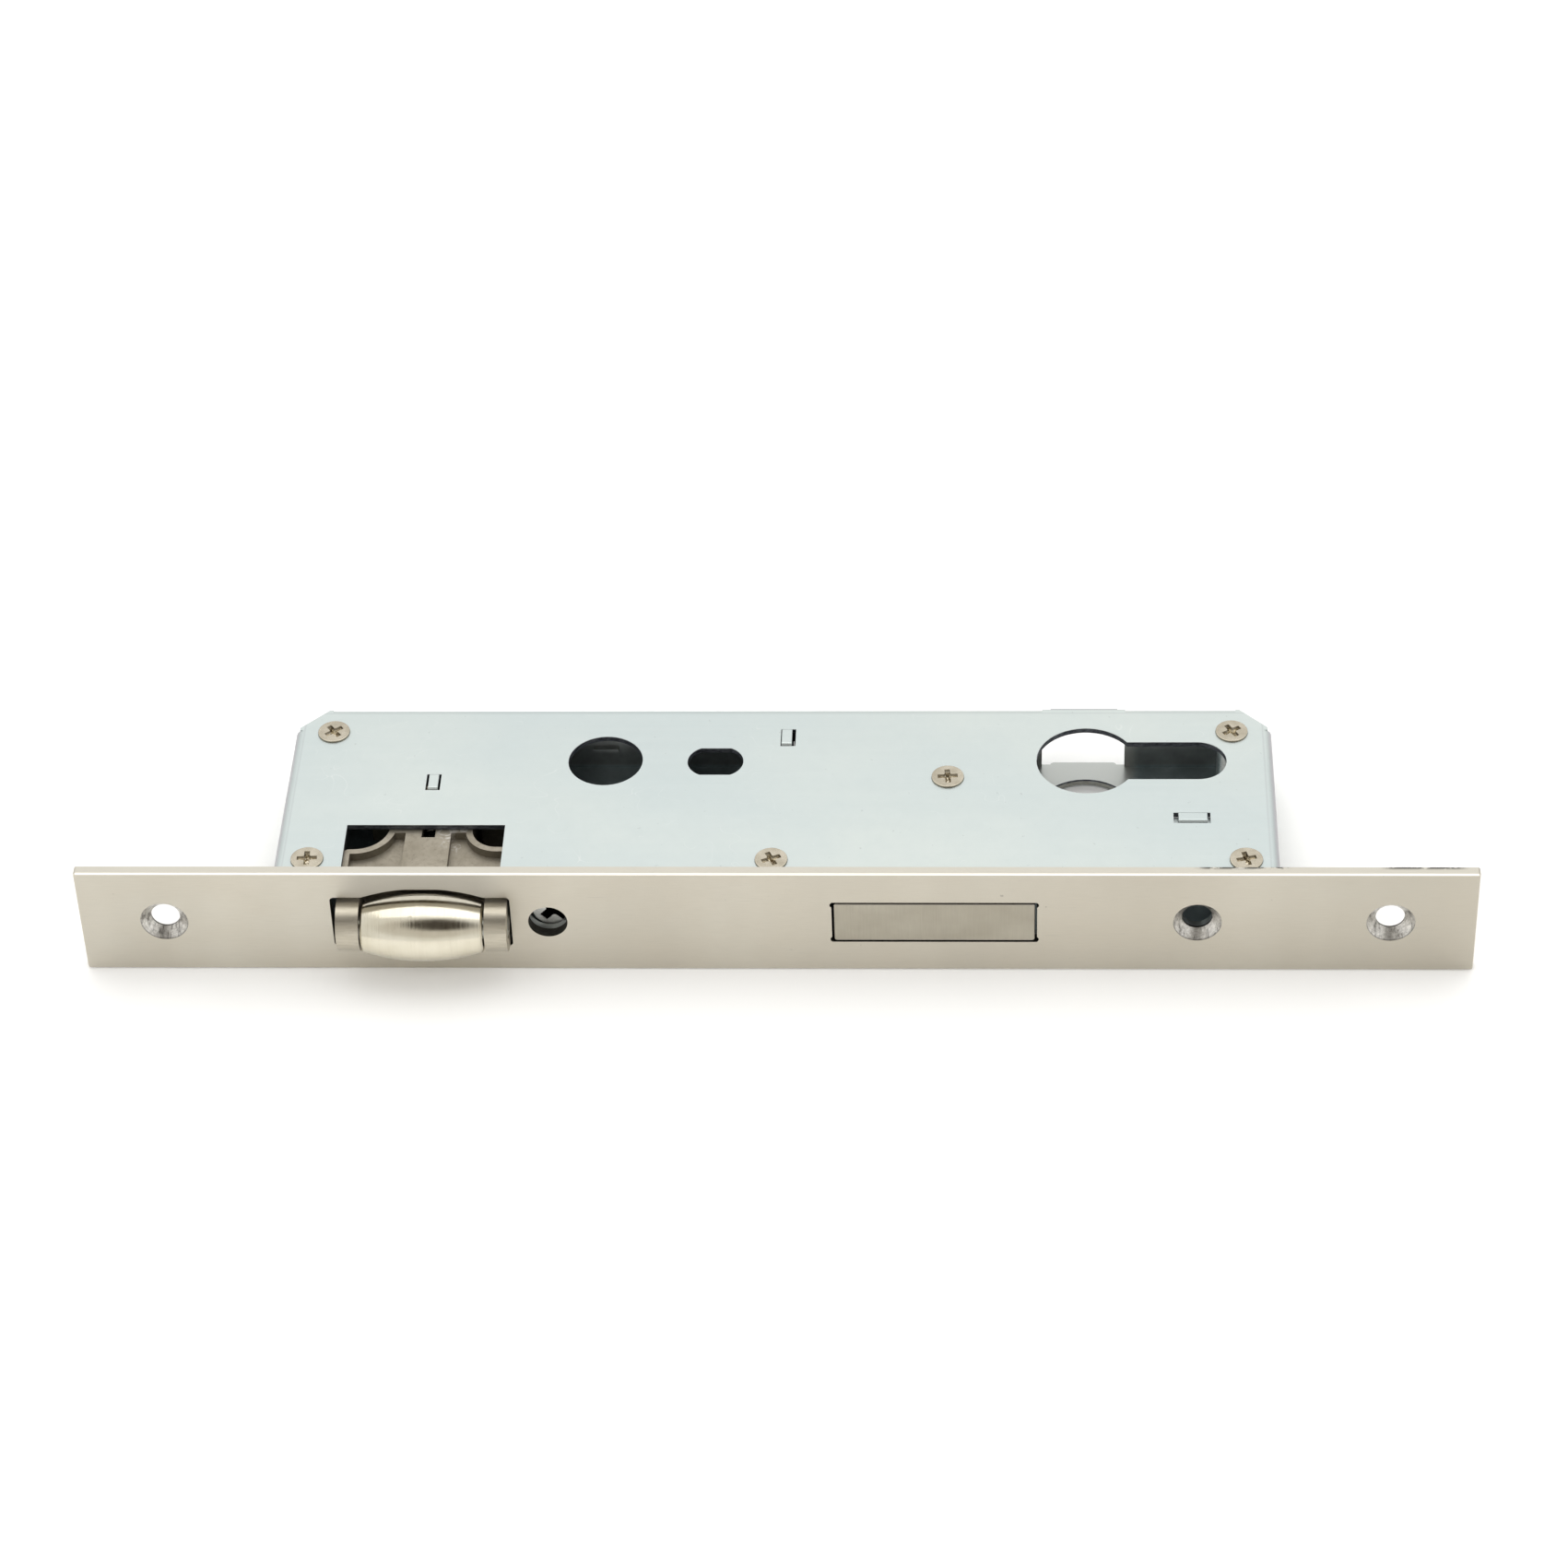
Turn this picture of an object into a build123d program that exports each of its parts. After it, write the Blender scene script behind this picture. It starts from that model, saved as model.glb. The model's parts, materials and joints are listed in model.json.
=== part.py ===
from build123d import *
from math import sqrt
import os

# Narrow-stile mortise lock with an adjustable roller latch and a sliding deadbolt, worked by a
# euro-profile cylinder. Millimetres. The origin is the centre of the forend's front face, +X runs
# along the forend towards the cylinder, +Y runs into the case and +Z out through the cover.

# ---- driving dimensions ----
# Forend (face plate)
forend_length = 240.8
forend_width = 22.0
forend_thick = 2.0
edge_roll_face = 0.18
edge_roll_side = 0.45
fixing_x = 105.7
fixing_hole_r = 2.5
cylinder_screw_r = 2.6
countersink_r = 4.2
access_x = -39.05
access_hole_r = 3.4

# Functional centres
backset = 35.0
centre_distance = 85.0
cylinder_x = 54.1
follower_x = cylinder_x - centre_distance
cylinder_screw_x = 72.7
adjuster_x = -38.2
roller_x = -60.5
bolt_x = 27.6

# Case: a tray under a cover, both folded from sheet. Each sheet is kept as its flat part and its
# upstanding walls, which meet face to face along the bends.
case_half_length = 87.0
case_back = 49.6
case_top = 6.6
case_floor = -6.6
cover_thick = 1.0
tray_thick = 1.2
nest_gap = 0.1
corner_cut = 6.2
bend_radius = 1.5
skirt_end = -4.4
inner_top = case_top - cover_thick
inner_floor = case_floor + tray_thick
tray_half = case_half_length - cover_thick - nest_gap
tray_back = case_back - cover_thick - nest_gap
tray_top = inner_top - 0.6
front_wall = forend_thick + tray_thick

# Openings through the case plates
keyhole_r = 8.8
keyhole_slot_width = 10.0
keyhole_slot_end = 78.75
follower_r = 6.6
rose_slot_x = -11.4
rose_slot_length = 9.9
rose_slot_width = 7.2
rose_end_r = 4.0
roller_notch_x = -61.25
roller_notch_half = 13.85
roller_notch_depth = 17.8
cam_opening = (46.4, 61.2)
cam_tongue = (47.9, 59.8)
cam_tongue_back = 49.25
cam_relief = 0.6

# Roller latch
roller_window_x = -60.95
roller_r = 5.9
roller_end_r = 4.3
roller_half = 10.55
roller_axis_y = -1.35
roller_play = 0.55
axle_r = 2.0
axle_clearance = 0.06
fork_x = (-75.3, -45.8)
fork_gap_half = 10.85
nose_r = 4.9
nose_y = -0.2
carriage_low = inner_floor + 0.2
carriage_high = inner_top - 0.2
stem_x = (-67.7, -53.2)
shoulder_y = (12.75, 13.4)
flare_r = (6.0, 4.5)
stem_end = 29.5
wing_x = (-72.4, -48.5)
wing_y = 27.05
guide_x = -60.83
guide_slot_half = 1.2
guide_slot_y = 15.9
spring_bore_r = 3.2
spring_seat_y = 8.0
guide_plate_front = 26.0

# Deadbolt and its tail
bolt_length = 34.5
bolt_height = 8.4
bolt_depth = 18.5
bolt_throw = 14.0
tail_thick = 3.0
tail_back = 47.0
play = 0.2

# Cover screws and the posts under them
post_r = 2.5
post_neck_r = 2.0
screw_head_r = 2.85
screw_thread_r = 1.5
screw_proud = 0.35
recess_half = 1.75
recess_width = 0.95
recess_depth = 1.25
bolt_post = (29.7, 30.5)
posts = {
    (-80.1, 42.8): 38,
    (-81.2, 8.8): 3,
    (-0.6, 8.7): 25,
    bolt_post: 4,
    (79.9, 42.8): 32,
    (81.2, 8.8): 14,
}

# Locking slide: a sprung plate that the cam pushes aside
slide_low = 1.9
slide_high = 3.9
slide_travel = 2.8
slide_shoulder_x = 12.0
tongue_y = 41.7
tongue_half = 1.5
peg_x = 21.6
peg_y = 24.5
peg_r = 2.0
peg_neck_r = 1.5

# Staked plates: the slot's X and Y spans, and inside it the tab's
guide_slot = ((-62.3, -59.74), (27.1, 31.35))
guide_tab = ((-61.9, -60.15), (27.5, 31.25))
bracket_slot = ((-0.05, 2.6), (39.0, 43.6))
bracket_tab = ((0.1, 1.95), (39.4, 43.5))
steady_slot = ((69.0, 75.4), (18.4, 21.1))
steady_tab = ((69.85, 74.9), (18.8, 21.0))
tab_top = case_top + 0.12

os.makedirs("parts", exist_ok=True)


# ---- helpers ----
def depth(y):
    """The XZ plane at depth y behind the forend's face, facing out of the door."""
    return Plane.XZ.offset(-y)


def level(z):
    """The XY plane at height z."""
    return Plane.XY.offset(z)


def block(xs, ys, zs, mode=Mode.ADD):
    """A box between two corners, added to or cut from the piece being made."""
    spans = (xs, ys, zs)
    with Locations(tuple((low + high) / 2 for low, high in spans)):
        Box(*[high - low for low, high in spans], mode=mode)


def rod(plane, at, radius, length, mode=Mode.ADD):
    """A round bar that starts on a plane at a local point and runs along the plane's normal."""
    with Locations(plane.location * Location((at[0], at[1], 0))):
        Cylinder(radius, length, align=(Align.CENTER, Align.CENTER, Align.MIN), mode=mode)


def outline(points):
    """A closed straight-sided shape through the points."""
    with BuildSketch() as shape:
        with BuildLine():
            Polyline(*points, close=True)
        make_face()
    return shape.sketch


def cross_shape(half_length, width):
    """The cross of a screwdriver recess, with a round centre."""
    with BuildSketch() as shape:
        Rectangle(2 * half_length, width)
        Rectangle(width, 2 * half_length)
        Circle(width * 0.85)
    return shape.sketch


def roller_window(margin):
    """The latch window: square ends for the fork and a bulge each way for the crowned roller."""
    half_x = 15.55 + margin
    half_z = 5.6 + margin
    bulge_middle = roller_x - roller_window_x
    bulge_left = bulge_middle - 10.6 - margin
    bulge_right = bulge_middle + 10.6 + margin
    bulge_z = 7.65 + margin
    with BuildSketch() as shape:
        with BuildLine():
            for z, peak_z in ((half_z, bulge_z), (-half_z, -bulge_z)):
                Line((-half_x, z), (bulge_left, z))
                ThreePointArc((bulge_left, z), (bulge_middle, peak_z), (bulge_right, z))
                Line((bulge_right, z), (half_x, z))
            for x in (-half_x, half_x):
                Line((x, half_z), (x, -half_z))
        make_face()
        ends = shape.vertices().filter_by(lambda v: abs(v.X) > half_x - 0.1)
        fillet(ends, 0.8)
    return shape.sketch


def bolt_window():
    """The deadbolt's window, with a small round relief at each end of its short sides."""
    size = (bolt_length + 0.8, bolt_height + 0.7)
    relief_r = 0.6
    with BuildSketch() as shape:
        Rectangle(*size)
        with GridLocations(size[0] - relief_r, size[1] - 2 * relief_r, 2, 2):
            Circle(relief_r)
    return shape.sketch


def keyhole():
    """Euro-profile opening: the cylinder's circle and the slot of its body."""
    slot_end_x = keyhole_slot_end - keyhole_slot_width / 2
    with BuildSketch() as shape:
        with Locations((cylinder_x, backset)):
            Circle(keyhole_r)
        with Locations(((cylinder_x + slot_end_x) / 2, backset)):
            SlotCenterToCenter(slot_end_x - cylinder_x, keyhole_slot_width)
    return shape.sketch


def rose_slot():
    """The oblong slot for the handle's through-bolt: flat sides between two large round ends."""
    with BuildSketch() as shape:
        with Locations((rose_slot_x, backset - 0.2)):
            SlotOverall(rose_slot_length, 2 * rose_end_r)
            Rectangle(rose_slot_length, rose_slot_width, mode=Mode.INTERSECT)
    return shape.sketch


def plate_openings(tab_slots):
    """Everything that passes through the cover and the tray's floor alike."""
    with BuildSketch() as shape:
        add(keyhole())
        add(rose_slot())
        with Locations((follower_x, backset)):
            Circle(follower_r)
        for (left, right), (front, back) in tab_slots:
            with Locations(((left + right) / 2, (front + back) / 2)):
                Rectangle(right - left, back - front)
        with Locations((roller_notch_x, (forend_thick + roller_notch_depth) / 2)):
            Rectangle(2 * roller_notch_half, roller_notch_depth - forend_thick)
    return shape.sketch


def case_outline(half_length, back, cut):
    """Plan of the case with its two back corners cut off, the corners slightly rounded."""
    points = [
        (-half_length, forend_thick),
        (-half_length, back - cut),
        (-half_length + cut, back),
        (half_length - cut, back),
        (half_length, back - cut),
        (half_length, forend_thick),
    ]
    with BuildSketch() as shape:
        add(outline(points))
        fillet(shape.vertices().filter_by(lambda v: v.Y > forend_thick + 1), 1.5)
    return shape.sketch


def stake_tab(spans):
    """A tab that passes through the floor and the cover, its top edges worn round."""
    with BuildPart() as tab:
        block(*spans, (case_floor, tab_top))
        top_edges = tab.edges().group_by(Axis.Z)[-1]
        chamfer(top_edges.sort_by(Axis.Y)[0], 0.35)
        chamfer(tab.edges().group_by(Axis.Z)[-1], 0.1)
    return tab.part


def finish(name, piece):
    """Label a finished piece and write it."""
    piece.part.label = name
    export_step(piece.part, f"parts/{name}.step")


def coil_spring(start, direction, length, mean_r, wire_r, turns):
    """A helical compression spring between two planes across its axis."""
    run = length - 2 * wire_r
    first = Vector(*start) + Vector(*direction) * wire_r
    with BuildPart() as spring:
        with BuildLine() as path:
            Helix(pitch=run / turns, height=run, radius=mean_r, center=first, direction=direction)
        with BuildSketch(path.line ^ 0):
            Circle(wire_r)
        sweep(path=path.line, is_frenet=True)
    return spring


# ---- forend ----
roller_opening = roller_window(0)
bolt_opening = bolt_window()

with BuildPart() as forend:
    with BuildSketch(depth(forend_thick)):
        RectangleRounded(forend_length, forend_width, 0.5)
    extrude(amount=forend_thick)
    front_face = forend.faces().sort_by(Axis.Y)[0]
    chamfer(front_face.edges(), edge_roll_face, edge_roll_side, reference=front_face)
    with BuildSketch(depth(0)):
        with Locations((roller_window_x, 0)):
            add(roller_opening)
        with Locations((bolt_x, 0)):
            add(bolt_opening)
        with Locations((access_x, 0)):
            Circle(access_hole_r)
    extrude(amount=-forend_thick, mode=Mode.SUBTRACT)
    with Locations(Plane.XZ):
        with Locations((-fixing_x, 0), (fixing_x, 0)):
            CounterSinkHole(fixing_hole_r, countersink_r, counter_sink_angle=90)
        with Locations((cylinder_screw_x, 0)):
            CounterSinkHole(cylinder_screw_r, countersink_r, counter_sink_angle=90)
finish("forend", forend)

# ---- case tray: floor and four walls, open towards the cover ----
tray_cut = corner_cut - 0.6
tray_plan = case_outline(tray_half, tray_back, tray_cut)
tray_room = case_outline(tray_half - tray_thick, tray_back - tray_thick, tray_cut - 0.5)
tray_openings = plate_openings([guide_slot, bracket_slot, steady_slot])

with BuildPart() as tray:
    with BuildSketch(level(case_floor)):
        add(tray_plan)
    extrude(amount=tray_top - case_floor)
    low_edges = tray.edges().group_by(Axis.Z)[0]
    fillet(low_edges.filter_by(lambda e: e.center().Y > forend_thick + 0.1), tray_thick - 0.01)
    with BuildSketch(level(inner_floor)):
        add(tray_room)
        Rectangle(2 * case_half_length, 2 * front_wall, mode=Mode.SUBTRACT)
    extrude(amount=tray_top - inner_floor, mode=Mode.SUBTRACT)
    with BuildSketch(level(case_floor)):
        add(tray_openings)
        for x, y in posts:
            with Locations((x, y)):
                Circle(post_neck_r)
    extrude(amount=tray_thick, mode=Mode.SUBTRACT)
    with BuildSketch(depth(forend_thick)):
        with Locations((roller_window_x, 0)):
            add(roller_window(0.3))
        with Locations((access_x, 0)):
            Circle(access_hole_r)
        with Locations((cylinder_screw_x, 0)):
            Circle(cylinder_screw_r)
    extrude(amount=-tray_thick, mode=Mode.SUBTRACT)
    bolt_gap = bolt_length / 2 + 0.5
    block(
        (bolt_x - bolt_gap, bolt_x + bolt_gap),
        (forend_thick - 1, front_wall + 1),
        (-bolt_height / 2 - 0.4, inner_top),
        mode=Mode.SUBTRACT,
    )
    # The cam swings out through the back wall, over a tongue of the floor
    block(cam_opening, (tray_back - 2, tray_back + 1), (inner_floor, case_top), mode=Mode.SUBTRACT)
    tongue_length = 4.0
    with BuildSketch(level(case_floor)):
        with Locations((sum(cam_opening) / 2, tray_back)):
            Rectangle(cam_opening[1] - cam_opening[0], 2 * cam_relief)
        with Locations((sum(cam_tongue) / 2, tray_back - tongue_length / 2)):
            RectangleRounded(cam_tongue[1] - cam_tongue[0], tongue_length, 0.8, mode=Mode.SUBTRACT)
    extrude(amount=tray_thick, mode=Mode.SUBTRACT)
    # A small lug lanced in from the back wall
    block((-34.3, -29.7), (tray_back - tray_thick - 0.7, tray_back - tray_thick), (-1.3, -0.7))
    # The roller's room is open through the front wall below the fork
    block(
        (roller_notch_x - roller_notch_half, roller_notch_x + roller_notch_half),
        (forend_thick - 1, front_wall + 1),
        (case_floor - 1, inner_top + 1),
        mode=Mode.SUBTRACT,
    )

with BuildPart() as case_base:
    add(tray.part)
    split(bisect_by=level(inner_floor), keep=Keep.BOTTOM)
finish("case_base", case_base)

with BuildPart() as case_front_wall:
    add(tray.part)
    split(bisect_by=level(inner_floor), keep=Keep.TOP)
    split(bisect_by=depth(front_wall), keep=Keep.TOP)
finish("case_front_wall", case_front_wall)

with BuildPart() as case_side_walls:
    add(tray.part)
    split(bisect_by=level(inner_floor), keep=Keep.TOP)
    split(bisect_by=depth(front_wall), keep=Keep.BOTTOM)
finish("case_side_walls", case_side_walls)

# ---- case cover: flat sheet, then the skirt bent down on three sides ----
flat_half = case_half_length - bend_radius
flat_back = case_back - bend_radius
ear = 0.7
corner_line = case_half_length + case_back - corner_cut

with BuildPart() as case_cover:
    with BuildSketch(level(inner_top)):
        right_half = [
            (0, forend_thick),
            (flat_half, forend_thick),
            (flat_half, case_back - corner_cut),
            (case_half_length - ear, case_back - corner_cut),
            (case_half_length - ear, corner_line - case_half_length + ear),
            (corner_line - case_back + ear, case_back - ear),
            (case_half_length - corner_cut, case_back - ear),
            (case_half_length - corner_cut, flat_back),
            (0, flat_back),
        ]
        add(outline(right_half))
        mirror(about=Plane.YZ)
    extrude(amount=cover_thick)
    # Over the cam's opening the sheet runs straight on and ends in a tongue between two reliefs
    block(cam_opening, (flat_back - 0.5, case_back - cam_relief), (inner_top, case_top))
    block(cam_tongue, (flat_back - 0.5, cam_tongue_back), (inner_top, case_top))
    with BuildSketch(level(inner_top)):
        add(tray_openings)
    extrude(amount=cover_thick, mode=Mode.SUBTRACT)
    with Locations(level(case_top)):
        with Locations(*posts):
            CounterSinkHole(screw_thread_r + 0.1, screw_head_r + 0.03, counter_sink_angle=90)
finish("case_cover", case_cover)

# The cover's bends and skirts: one section for the back and one for each end
bend_centre_z = case_top - bend_radius
with BuildPart() as cover_skirts:
    with BuildSketch(Plane.YZ.offset(-(case_half_length - corner_cut))):
        with Locations((flat_back, bend_centre_z)):
            Circle(bend_radius)
            Circle(bend_radius - cover_thick, mode=Mode.SUBTRACT)
            Rectangle(bend_radius, bend_radius, align=Align.MIN, mode=Mode.INTERSECT)
        with Locations((case_back - cover_thick, skirt_end)):
            Rectangle(cover_thick, bend_centre_z - skirt_end, align=Align.MIN)
    extrude(amount=2 * (case_half_length - corner_cut))
    for side in (1, -1):
        with BuildSketch(depth(forend_thick)):
            with Locations((side * flat_half, bend_centre_z)):
                Circle(bend_radius)
                Circle(bend_radius - cover_thick, mode=Mode.SUBTRACT)
                quarter = (Align.MIN if side > 0 else Align.MAX, Align.MIN)
                Rectangle(bend_radius, bend_radius, align=quarter, mode=Mode.INTERSECT)
            with Locations((side * (case_half_length - cover_thick / 2), skirt_end)):
                Rectangle(cover_thick, bend_centre_z - skirt_end, align=(Align.CENTER, Align.MIN))
        extrude(amount=-(case_back - corner_cut - forend_thick))
    block(cam_opening, (flat_back - 1, case_back + 1), (skirt_end - 1, case_top + 1), mode=Mode.SUBTRACT)
    with BuildSketch(level(inner_top)):
        for side in (-1, 1):
            with Locations((side * (case_half_length - corner_cut), case_back)):
                Circle(0.5)
    extrude(amount=cover_thick, mode=Mode.SUBTRACT)
finish("cover_skirts", cover_skirts)

# ---- posts and cover screws ----
with BuildPart() as case_posts:
    for x, y in posts:
        rod(level(case_floor), (x, y), post_neck_r, tray_thick)
        rod(level(inner_floor), (x, y), post_r, inner_top - inner_floor)
        rod(level(inner_top - 9), (x, y), screw_thread_r, 9, mode=Mode.SUBTRACT)
        with Locations((x, y, inner_top - 0.25)):
            Cone(screw_thread_r, screw_head_r - 0.7, 0.5, mode=Mode.SUBTRACT)
finish("case_posts", case_posts)

with BuildPart() as cover_screws:
    head_top = case_top + screw_proud
    for (x, y), turn in posts.items():
        cone_height = screw_head_r - screw_thread_r + 0.06
        with Locations((x, y, case_top - cone_height / 2)):
            Cone(screw_thread_r - 0.06, screw_head_r, cone_height)
        rod(level(case_top), (x, y), screw_head_r, screw_proud)
        rod(level(case_top - 8), (x, y), screw_thread_r - 0.06, 8 - cone_height)
    fillet(cover_screws.edges().group_by(Axis.Z)[-1], 0.12)
    for (x, y), turn in posts.items():
        with BuildSketch(level(head_top)):
            with Locations(Location((x, y), turn)):
                add(cross_shape(recess_half, recess_width))
        extrude(amount=-recess_depth, taper=17, mode=Mode.SUBTRACT)
finish("cover_screws", cover_screws)

# ---- roller latch ----
with BuildPart() as roller:
    with BuildSketch(Plane.XY):
        with BuildLine():
            ThreePointArc(
                (roller_x - roller_half, roller_axis_y + roller_end_r),
                (roller_x, roller_axis_y + roller_r),
                (roller_x + roller_half, roller_axis_y + roller_end_r),
            )
            Polyline(
                (roller_x - roller_half, roller_axis_y + roller_end_r),
                (roller_x - roller_half, roller_axis_y + axle_r + axle_clearance),
                (roller_x + roller_half, roller_axis_y + axle_r + axle_clearance),
                (roller_x + roller_half, roller_axis_y + roller_end_r),
            )
        make_face()
    revolve(axis=Axis((0, roller_axis_y, 0), (1, 0, 0)))
    rims = roller.edges().filter_by(GeomType.CIRCLE).filter_by(lambda e: abs(e.radius - roller_end_r) < 0.01)
    chamfer(rims, 0.35)
finish("roller", roller)

with BuildPart() as roller_axle:
    rod(Plane.YZ.offset(fork_x[0] + 0.1), (roller_axis_y, 0), axle_r, fork_x[1] - fork_x[0] - 0.2)
    chamfer(roller_axle.edges(), 0.2)
finish("roller_axle", roller_axle)

# Cast pockets with thin rims stand each side of the carriage's middle rib
rim = 1.15
rib_x = (-64.85, -56.9)
pocket_y = (7.4, 17.1)
pocket_depth = 1.6


def pocket_shape(side):
    """One pocket's plan, 0 for the left and 1 for the right: the rim follows the casting's flare."""
    way = (-1, 1)[side]
    flare_centre = Vector(stem_x[side] + way * flare_r[side], shoulder_y[side] + flare_r[side])
    reach = flare_r[side] + rim
    rise = flare_centre.Y - pocket_y[1]
    start = flare_centre - Vector(0, reach)
    end = Vector(flare_centre.X - way * sqrt(reach**2 - rise**2), pocket_y[1])
    middle = flare_centre + ((start + end) / 2 - flare_centre).normalized() * reach
    with BuildSketch() as shape:
        with BuildLine():
            ThreePointArc(start, middle, end)
            Polyline(
                end,
                (rib_x[side], pocket_y[1]),
                (rib_x[side], pocket_y[0]),
                (fork_x[side] - way * rim, pocket_y[0]),
                (fork_x[side] - way * rim, shoulder_y[side] - rim),
                start,
            )
        make_face()
    return shape.sketch


# Plan of the casting: full width at the fork, curving in to a stem with a hook wing on each side
casting_plan = [
    (fork_x[0], nose_y),
    (fork_x[1], nose_y),
    (fork_x[1], shoulder_y[1]),
    (stem_x[1], shoulder_y[1]),
    (stem_x[1], wing_y),
    (wing_x[1], wing_y),
    (wing_x[1], stem_end),
    (wing_x[0], stem_end),
    (wing_x[0], wing_y),
    (stem_x[0], wing_y),
    (stem_x[0], shoulder_y[0]),
    (fork_x[0], shoulder_y[0]),
]
with BuildPart() as roller_carriage:
    with BuildSketch(level(carriage_low)) as casting:
        add(outline(casting_plan))
        for side in (0, 1):
            flare = casting.vertices().sort_by_distance((stem_x[side], shoulder_y[side]))[0]
            fillet(flare, flare_r[side])
            shoulder = casting.vertices().sort_by_distance((fork_x[side], shoulder_y[side]))[0]
            fillet(shoulder, 1.0)
    extrude(amount=carriage_high - carriage_low)
    # Round noses of the fork
    fork_plane = Plane.YZ.offset(fork_x[0])
    fork_width = fork_x[1] - fork_x[0]
    rod(fork_plane, (nose_y, 0), nose_r, fork_width)
    for low, high in ((carriage_low - 1, -nose_r), (nose_r, carriage_high + 1)):
        block(
            (fork_x[0] - 1, fork_x[1] + 1),
            (nose_y - nose_r - 1, 7.0),
            (low, high),
            mode=Mode.SUBTRACT,
        )
    # Room for the roller between the fork's arms
    rod(
        Plane.YZ.offset(roller_x - fork_gap_half),
        (roller_axis_y, 0),
        roller_r + roller_play,
        2 * fork_gap_half,
        mode=Mode.SUBTRACT,
    )
    block(
        (roller_x - fork_gap_half, roller_x + fork_gap_half),
        (nose_y - nose_r - 1, roller_axis_y),
        (-7, 7),
        mode=Mode.SUBTRACT,
    )
    rod(fork_plane, (roller_axis_y, 0), axle_r, fork_width, mode=Mode.SUBTRACT)
    # Guide slot, and the bore for the roller spring
    block(
        (guide_x - guide_slot_half, guide_x + guide_slot_half),
        (guide_slot_y, stem_end + 1),
        (carriage_low - 1, carriage_high + 1),
        mode=Mode.SUBTRACT,
    )
    rod(depth(stem_end + 1), (guide_x, 0), spring_bore_r, stem_end + 1 - spring_seat_y, mode=Mode.SUBTRACT)
    for face_z, way in ((carriage_high, -1), (carriage_low, 1)):
        with BuildSketch(level(face_z)):
            add(pocket_shape(0))
            add(pocket_shape(1))
        extrude(amount=way * pocket_depth, mode=Mode.SUBTRACT)
finish("roller_carriage", roller_carriage)

spring_length = guide_plate_front - spring_seat_y
roller_spring = coil_spring((guide_x, spring_seat_y, 0), (0, 1, 0), spring_length, 2.45, 0.4, 8)
finish("roller_spring", roller_spring)

with BuildPart() as guide_plate:
    block(guide_tab[0], (guide_plate_front, 33.0), (inner_floor, inner_top))
    block(guide_tab[0], (guide_plate_front - 1.6, guide_plate_front), (-1.5, 1.5))
    add(stake_tab(guide_tab))
finish("guide_plate", guide_plate)

# ---- roller adjuster: screw, hooked nut and the bracket behind it ----
screw_r = 2.5
spigot_r = 1.95
adjuster_head_r = 4.2
screw_head_y = 3.5
screw_head_back = 6.1
spigot_y = 25.2
nut_y = (14.0, 21.5)
hook_y = (24.0, 27.0)

with BuildPart() as adjusting_screw:
    rod(depth(screw_head_back), (adjuster_x, 0), adjuster_head_r, screw_head_back - screw_head_y)
    chamfer(adjusting_screw.edges().group_by(Axis.Y)[0], 0.4)
    rod(depth(spigot_y), (adjuster_x, 0), screw_r, spigot_y - screw_head_back)
    rod(depth(spigot_y + 2.6), (adjuster_x, 0), spigot_r, 2.6)
    with BuildSketch(depth(screw_head_y)):
        with Locations(Location((adjuster_x, 0), 45)):
            add(cross_shape(2.8, 1.7))
    extrude(amount=-1.8, taper=12, mode=Mode.SUBTRACT)
finish("adjusting_screw", adjusting_screw)

with BuildPart() as adjuster_nut:
    hook_tip_x = stem_x[1] + 0.8
    leg_x = (fork_x[1] + 0.4, -41.5)
    nut_plan = [
        (leg_x[0], nut_y[0] + 2),
        (leg_x[0] + 2, nut_y[0]),
        (-34.0, nut_y[0]),
        (-34.0, nut_y[1]),
        (leg_x[1], nut_y[1]),
        (leg_x[1], hook_y[1]),
        (hook_tip_x, hook_y[1]),
        (hook_tip_x, hook_y[0]),
        (leg_x[0], hook_y[0]),
    ]
    with BuildSketch(level(carriage_low)):
        add(outline(nut_plan))
    extrude(amount=carriage_high - carriage_low)
    rod(depth(nut_y[1] + 1), (adjuster_x, 0), screw_r + 0.06, nut_y[1] - nut_y[0] + 2, mode=Mode.SUBTRACT)
finish("adjuster_nut", adjuster_nut)

with BuildPart() as adjuster_bracket:
    bracket_y = (25.7, 27.3)
    block((-41.2, -34.5), bracket_y, (inner_floor, inner_top))
    rod(depth(bracket_y[1] + 1), (adjuster_x, 0), spigot_r + 0.05, 4, mode=Mode.SUBTRACT)
finish("adjuster_bracket", adjuster_bracket)

# ---- deadbolt ----
bolt_span = (bolt_x - bolt_length / 2, bolt_x + bolt_length / 2)
tail_front = 11.5
tail_left = 12.5
tail_tongue_right = 42.0
rivet_points = ((19.0, 15.0), (36.0, 15.0))
rivet_r = 2.0
post_slot = (bolt_post[0] - post_r - play, bolt_post[0] + post_r + play)
cam_notch = (38.2, 45.2)
cam_notch_x = 38.3

with BuildPart() as deadbolt:
    block(bolt_span, (0, bolt_depth), (-bolt_height / 2, bolt_height / 2))
    fillet(deadbolt.edges().filter_by(Axis.Y), 0.5)
    chamfer(deadbolt.faces().sort_by(Axis.Y)[0].edges(), 0.1)
    block(
        (tail_left, tail_tongue_right),
        (tail_front, bolt_depth + 1),
        (-tail_thick / 2, tail_thick / 2),
        mode=Mode.SUBTRACT,
    )
    for x, y in rivet_points:
        rod(level(-bolt_height / 2), (x, y), rivet_r, bolt_height, mode=Mode.SUBTRACT)
finish("deadbolt", deadbolt)

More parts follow.
